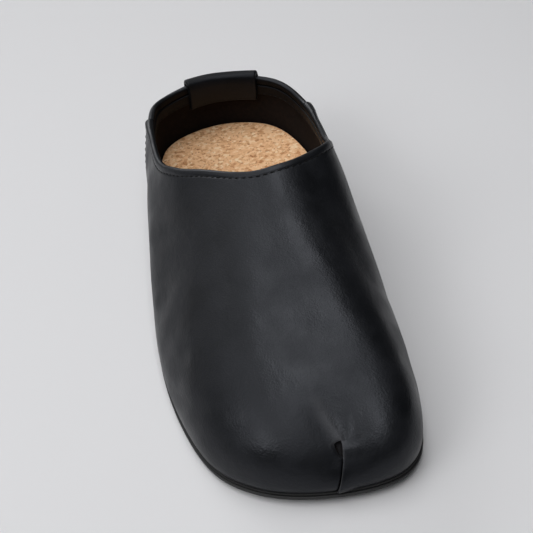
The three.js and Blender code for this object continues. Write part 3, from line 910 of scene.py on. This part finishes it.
def sew(name, path, normals, sunk):
    """A row of stitches along a path of points, with the leather's normals beside them."""
    along = distance_along(path)
    count = int(along[-1] // PITCH)
    shares = np.linspace(-0.5, 0.5, RINGS)
    angles = np.arange(SIDES) * 2 * math.pi / SIDES
    points, faces = [], []
    for i in range(count):
        middle = (i + 0.5) * along[-1] / count
        places = middle + shares * STITCH
        line = np.stack([np.interp(places, along, path[:, k]) for k in range(3)], 1)
        up = unit(np.stack([np.interp(places, along, normals[:, k]) for k in range(3)], 1))
        side = unit(np.cross(np.gradient(line, axis=0), up))
        dip = THREAD * 0.9 * (2 * np.abs(shares)) ** 3
        line = line + up * (THREAD * 0.25 - sunk - dip)[:, None]
        start = len(points)
        for k in range(RINGS):
            for angle in angles:
                spoke = up[k] * math.cos(angle) + side[k] * math.sin(angle)
                points.append(line[k] + STITCH_RADII[k] * spoke)
        for k in range(RINGS - 1):
            here, above = start + k * SIDES, start + (k + 1) * SIDES
            for a in range(SIDES):
                b = (a + 1) % SIDES
                faces.append((here + a, here + b, above + b, above + a))
        faces.append(tuple(start + a for a in range(SIDES)))
        faces.append(tuple(start + (RINGS - 1) * SIDES + a for a in range(SIDES)))
    make_piece(name, points, faces, [thread])


# %% Rows of stitches
def outside_path(u, t, flap, vamp):
    u, t = (np.asarray(values, float).reshape(-1, 1) for values in (u, t))
    level = outside_level(u, t, flap, vamp)
    normals = out_of(u, t)
    return (rib_point(u, t) + normals * level[..., None])[:, 0], normals[:, 0]


CLEAR_OF_TAB, CLEAR_OF_SEAM = 1 * MM, 0.03
COLLAR_RAISED, SEAM_SUNK, FACING_SUNK = 0.02 * MM, 0.1 * MM, 0.05 * MM
tab_from = rim_place(TAB_MIDDLE - TAB_WIDTH / 2 - CLEAR_OF_TAB)
tab_to = rim_place(TAB_MIDDLE + TAB_WIDTH / 2 + CLEAR_OF_TAB)
collar_parts = {"heel_m": (tab_to, SEAM_M - CLEAR_OF_SEAM),
                "vamp": (SEAM_M + CLEAR_OF_SEAM, SEAM_L - CLEAR_OF_SEAM),
                "heel_l": (SEAM_L + CLEAR_OF_SEAM, RIB_COUNT + tab_from)}
for part, (start, end) in collar_parts.items():
    places = np.linspace(start, end, 400)
    heights = below_rim(places[:, None], GROOVE_BELOW_RIM)
    vamp = 1.0 if part == "vamp" else 0.0
    path, lean = outside_path(places, heights, (places < DART).astype(float)[:, None], vamp)
    sew("collar_stitches_" + part, path, lean, -COLLAR_RAISED)

SEAM_STITCH_AHEAD = 1.7 * MM
for line, side in ((SEAM_M, 1), (SEAM_L, -1)):
    heights = np.linspace(0.06, float(below_rim(line, 6 * MM)), 80)
    places = np.full(80, line + side * SEAM_STITCH_AHEAD / per_rib(line))
    path, lean = outside_path(places, heights, 0.0, 1.0)
    sew("seam_stitches_" + ("m" if line == SEAM_M else "l"), path, lean, SEAM_SUNK)

FACING_STITCH_IN = 1.3 * MM
places = np.linspace(0, RIB_COUNT, 900)[:, None]
heights = below_rim(places, FACING_FROM + FACING_WIDTH - FACING_STITCH_IN)
path = under(places, heights, FACING_DEPTH + FACING_THICKNESS, (places < DART).astype(float))[:, 0]
sew("facing_stitches", path, -out_of(places, heights)[:, 0], FACING_SUNK)


# %% [markdown]
# ## Cork footbed
#
# The footbed is ground cork pressed with a binder and cut to shape: light and brown grains of
# about two millimetres with darker specks of bark between them. It is thick under the heel and
# thins towards the toes. Each grain gets a colour of its own from a cell pattern, and the
# surface is dry and dull.

# %% Ground cork
def cork_material():
    material, tree = new_material("pressed_ground_cork")
    grains = texture(tree, "Voronoi", 0.0017)
    split = add(tree, "ShaderNodeSeparateColor", links={"Color": grains["Color"]})
    tone = colour_ramp(tree, split.outputs["Red"], (0.0, "#C48A5C"), (0.12, "#E0AC7E"),
                       (0.5, "#EDBD8F"), (0.8, "#F3C99D"), (1.0, "#F8D9B2"))
    specks = texture(tree, "Noise", 0.0013, {"Detail": 4.0})["Fac"]
    bark = colour_ramp(tree, specks, (0.32, "#B07A4C"), (0.42, "#FFFFFF"))
    mixed = add(tree, "ShaderNodeMix", {"data_type": "RGBA", "blend_type": "MULTIPLY", "Factor": 0.8})
    tree.links.new(tone, mixed.inputs["A"])
    tree.links.new(bark, mixed.inputs["B"])
    bump = bump_node(tree, 0.5, 0.0003, grains["Distance"])
    surface(tree, {"Roughness": 0.8, "IOR": 1.4}, {"Base Color": mixed.outputs["Result"], "Normal": bump})
    return material


cork = cork_material()
print("footbed:", cork.name)

# %% Rings round the sole
SIDE_STEPS = 300


def even_places():
    """Places round the foot at equal distances, as many on each side of the sole."""
    sides = []
    for start, end in ((0, DART), (DART, RIB_COUNT)):
        fine = np.linspace(start, end, 2000)
        along = distance_along(edge_point(fine))
        sides.append(np.interp(np.linspace(0, along[-1], SIDE_STEPS + 1)[:-1], along, fine))
    return np.concatenate(sides)


sole_u = even_places()


def plate(rings, bottom=None, top=None, rungs=24):
    """A closed plate from rings, lowest first, with rungs of points across both ends."""
    count = len(sole_u)
    points = [p for ring in rings for p in ring]
    faces = []
    for r in range(len(rings) - 1):
        for k in range(count):
            n = (k + 1) % count
            faces.append((r * count + k, r * count + n, (r + 1) * count + n, (r + 1) * count + k))
    for ring, shape in ((rings[0], bottom), (rings[-1], top)):
        start, half = len(points), count // 2
        shares = np.linspace(0, 1, rungs + 1)[:, None]
        for i in range(half + 1):
            rung = ring[i] * (1 - shares) + ring[-i % count] * shares
            if shape:
                rung[1:-1, 2] += shape(rung[1:-1], np.minimum(shares, 1 - shares)[1:-1, 0] * 2)
            points.extend(rung)
        for i in range(half):
            for s in range(rungs):
                a = start + i * (rungs + 1) + s
                faces.append((a, a + 1, a + rungs + 2, a + rungs + 1))
    return np.array(points), faces


def sole_ring(out, height):
    edge = edge_point(sole_u) + edge_normal(sole_u) * out
    return np.column_stack([edge, lift(edge[:, 1]) + height])


print(len(sole_u), "places round the sole")

# %% The cork footbed
FOOTBED_HEEL, FOOTBED_TOE, FOOTBED_CLEARANCE = 16.5 * MM, 9 * MM, 1.4 * MM
THINS_FROM, THINS_TO = 0.15, 0.75


def footbed_top(y):
    share = smooth(THINS_FROM, THINS_TO, 0.5 - y / LENGTH)
    return FOOTBED_HEEL + (FOOTBED_TOE - FOOTBED_HEEL) * share


def inside_at(height):
    """The ring where the inside of the upper is at a height, found by halving."""
    low, high = np.zeros_like(sole_u), np.ones_like(sole_u)
    flap = (sole_u < DART).astype(float)
    for _ in range(30):
        middle = (low + high) / 2
        too_low = under(sole_u, middle, LEATHER, flap)[:, 2] < height
        low, high = np.where(too_low, middle, low), np.where(too_low, high, middle)
    return under(sole_u, low, LEATHER, flap)


def footbed_ring(share_up, inset):
    y = edge_point(sole_u)[:, 1]
    base = SEAT + lift(y) + GAP
    height = base + footbed_top(y) * share_up
    ring = inside_at(height)[:, :2] - edge_normal(sole_u) * (FOOTBED_CLEARANCE + inset * MM)
    return np.column_stack([ring, height])


# share of the height, and how far the edge is rounded in, in mm
FOOTBED_EDGE = ((0.0, 0.6), (0.02, 0.15), (0.07, 0.0), (0.5, 0.0), (0.93, 0.0), (0.975, 0.12),
                (0.995, 0.45), (1.0, 0.9))
points, faces = plate([footbed_ring(share_up, inset) for share_up, inset in FOOTBED_EDGE])
make_piece("cork_footbed", points, faces, [cork], "footbed")

# %% [markdown]
# ## The two layers of the sole
#
# Under the upper lies a thin black rubber midsole, and under that the outsole, moulded with a
# rounded edge that stands out a little past the leather. The photo doesn't show its underside,
# so that gets the plainest real tread there is: fine waves across the foot, half a millimetre
# deep, inside a flat border. Moulded rubber is matt black and greys a little where it rubs.

# %% Moulded black rubber
def rubber_material(name, colours, roughness, grit):
    material, tree = new_material(name)
    dust = texture(tree, "Noise", 0.012, {"Detail": 5.0})["Fac"]
    tone = colour_ramp(tree, dust, (0.35, colours[0]), (0.75, colours[1]))
    pits = texture(tree, "Noise", grit, {"Detail": 3.0})["Fac"]
    bump = bump_node(tree, 0.35, 0.0001, pits)
    surface(tree, {"Roughness": roughness, "IOR": 1.52}, {"Base Color": tone, "Normal": bump})
    return material


sole_rubber = rubber_material("moulded_black_rubber", ("#121213", "#1D1D1E"), 0.6, 0.0009)
midsole_rubber = rubber_material("foamed_black_rubber", ("#0E0E0F", "#171718"), 0.75, 0.0006)
print("rubbers:", sole_rubber.name, midsole_rubber.name)

# %% The midsole and the outsole
TREAD_PITCH, TREAD_DEPTH, TREAD_WAVE, TREAD_WAVE_PITCH = 5 * MM, 0.6 * MM, 1.6 * MM, 16 * MM
TREAD_BORDER = 0.16


def tread(points, from_edge):
    wave = TREAD_WAVE * np.sin(points[:, 0] / TREAD_WAVE_PITCH * 2 * np.pi)
    groove = 0.5 + 0.5 * np.cos((points[:, 1] + wave) / TREAD_PITCH * 2 * np.pi)
    return TREAD_DEPTH * smooth(0.35, 0.75, groove) * smooth(TREAD_BORDER * 0.6, TREAD_BORDER, from_edge)


# how far the side stands out, and how high, in mm from the edge and the underside of each
OUTSOLE_SIDE = ((-0.6, 0), (-0.3, 0.1), (-0.08, 0.32), (0, 0.6), (0, 1.45), (-0.1, 1.7), (-0.35, 1.8))
MIDSOLE_SIDE = ((-0.2, 0), (0, 0.2), (0, 0.6), (-0.2, 0.8))
MIDSOLE_EDGE = -0.2 * MM


def sole_rings(side, edge, underside):
    return [sole_ring(edge + out * MM, underside + height * MM) for out, height in side]


points, faces = plate(sole_rings(OUTSOLE_SIDE, OUTSOLE_EDGE, 0), bottom=tread, rungs=48)
make_piece("outsole_rubber", points, faces, [sole_rubber], "outsole")

points, faces = plate(sole_rings(MIDSOLE_SIDE, MIDSOLE_EDGE, OUTSOLE_THICKNESS + GAP), rungs=8)
make_piece("midsole_layer", points, faces, [midsole_rubber], "midsole")

# %% [markdown]
# ## Floor, light and camera
#
# Black leather shows what it reflects, so the lamps are placed where its curves look. A large
# soft lamp overhead gives the vamp its even sheen, and a narrow bright one beside it draws the
# highlight down the middle. One at the left lights the outer shoulder of the toe, two behind
# give the edges their light, and a dim room leaves the upright front of the toe dark. The
# camera stands in front of the toe, above it and a little to its outer side.

# %% The floor
floor_mesh = bpy.data.meshes.new("floor")
FLOOR = 3.0
floor_mesh.from_pydata([(-FLOOR, -FLOOR, 0), (FLOOR, -FLOOR, 0), (FLOOR, FLOOR, 0), (-FLOOR, FLOOR, 0)],
                       [], [(0, 1, 2, 3)])
floor = put_in("floor", floor_mesh)
paper, tree = new_material("pale_matt_paper")
surface(tree, {"Base Color": linear("#DCDCDE"), "Roughness": 0.9}, {})
floor_mesh.materials.append(paper)
print("floor:", 2 * FLOOR, "m wide, of", paper.name)


# %% Lamps and the dim room
def soft_lamp(name, place, aim, size, watts):
    lamp = bpy.data.lights.new(name, "AREA")
    lamp.shape = "RECTANGLE"
    lamp.size, lamp.size_y = size
    lamp.energy = watts
    holder = put_in(name, lamp)
    holder.location = place
    holder.rotation_euler = (Vector(aim) - Vector(place)).to_track_quat("-Z", "Y").to_euler()
    print(name, "lamp,", watts, "W over", size[0], "by", size[1], "m")


soft_lamp("overhead", (-0.5, -0.3, 1.1), (-0.5, -0.3, 0), (1.6, 1.9), 9.0)
soft_lamp("strip", (0.05, -0.1, 1.09), (0.05, -0.1, 0), (0.36, 1.7), 4.7)
soft_lamp("left", (-1.3, -0.6, 1.1), (0, 0, 0), (1.0, 0.8), 6.5)
soft_lamp("left_behind", (-1.3, 0.9, 0.8), (0, 0, 0), (1.2, 1.0), 1.5)
soft_lamp("behind", (-0.5, 1.7, 1.0), (0, 0, 0), (1.0, 0.6), 9.0)
world = bpy.data.worlds.new("dim_room")
world.use_nodes = True
background = world.node_tree.nodes["Background"].inputs
background["Color"].default_value = linear("#E6E8EC")
background["Strength"].default_value = 0.08
scene.world = world
scene.view_settings.view_transform = "Standard"

# %% The camera
CAMERA_PLACE = np.array([-31.83, -365.95, 308.89]) * MM + SHIFT
CAMERA_AIM = np.array([0, -8, 22]) * MM + SHIFT
CAMERA_ROLL = math.radians(9.501)
CAMERA_LENS = 67.79
camera_data = bpy.data.cameras.new("camera")
camera_data.lens = CAMERA_LENS
camera_data.sensor_width = 36
camera_data.clip_start = 0.01
camera = put_in("camera", camera_data)
forward = Vector(CAMERA_AIM - CAMERA_PLACE).normalized()
level_right = forward.cross(Vector((0, 0, 1))).normalized()
level_up = level_right.cross(forward)
up = level_up * math.cos(CAMERA_ROLL) + level_right * math.sin(CAMERA_ROLL)
right = forward.cross(up)
turn = Matrix((right, up, -forward)).transposed().to_4x4()
camera.matrix_world = Matrix.Translation(Vector(CAMERA_PLACE)) @ turn
scene.camera = camera
away = length(CAMERA_AIM - CAMERA_PLACE)
print("camera", round(away, 3), "m away, lens", CAMERA_LENS, "mm")
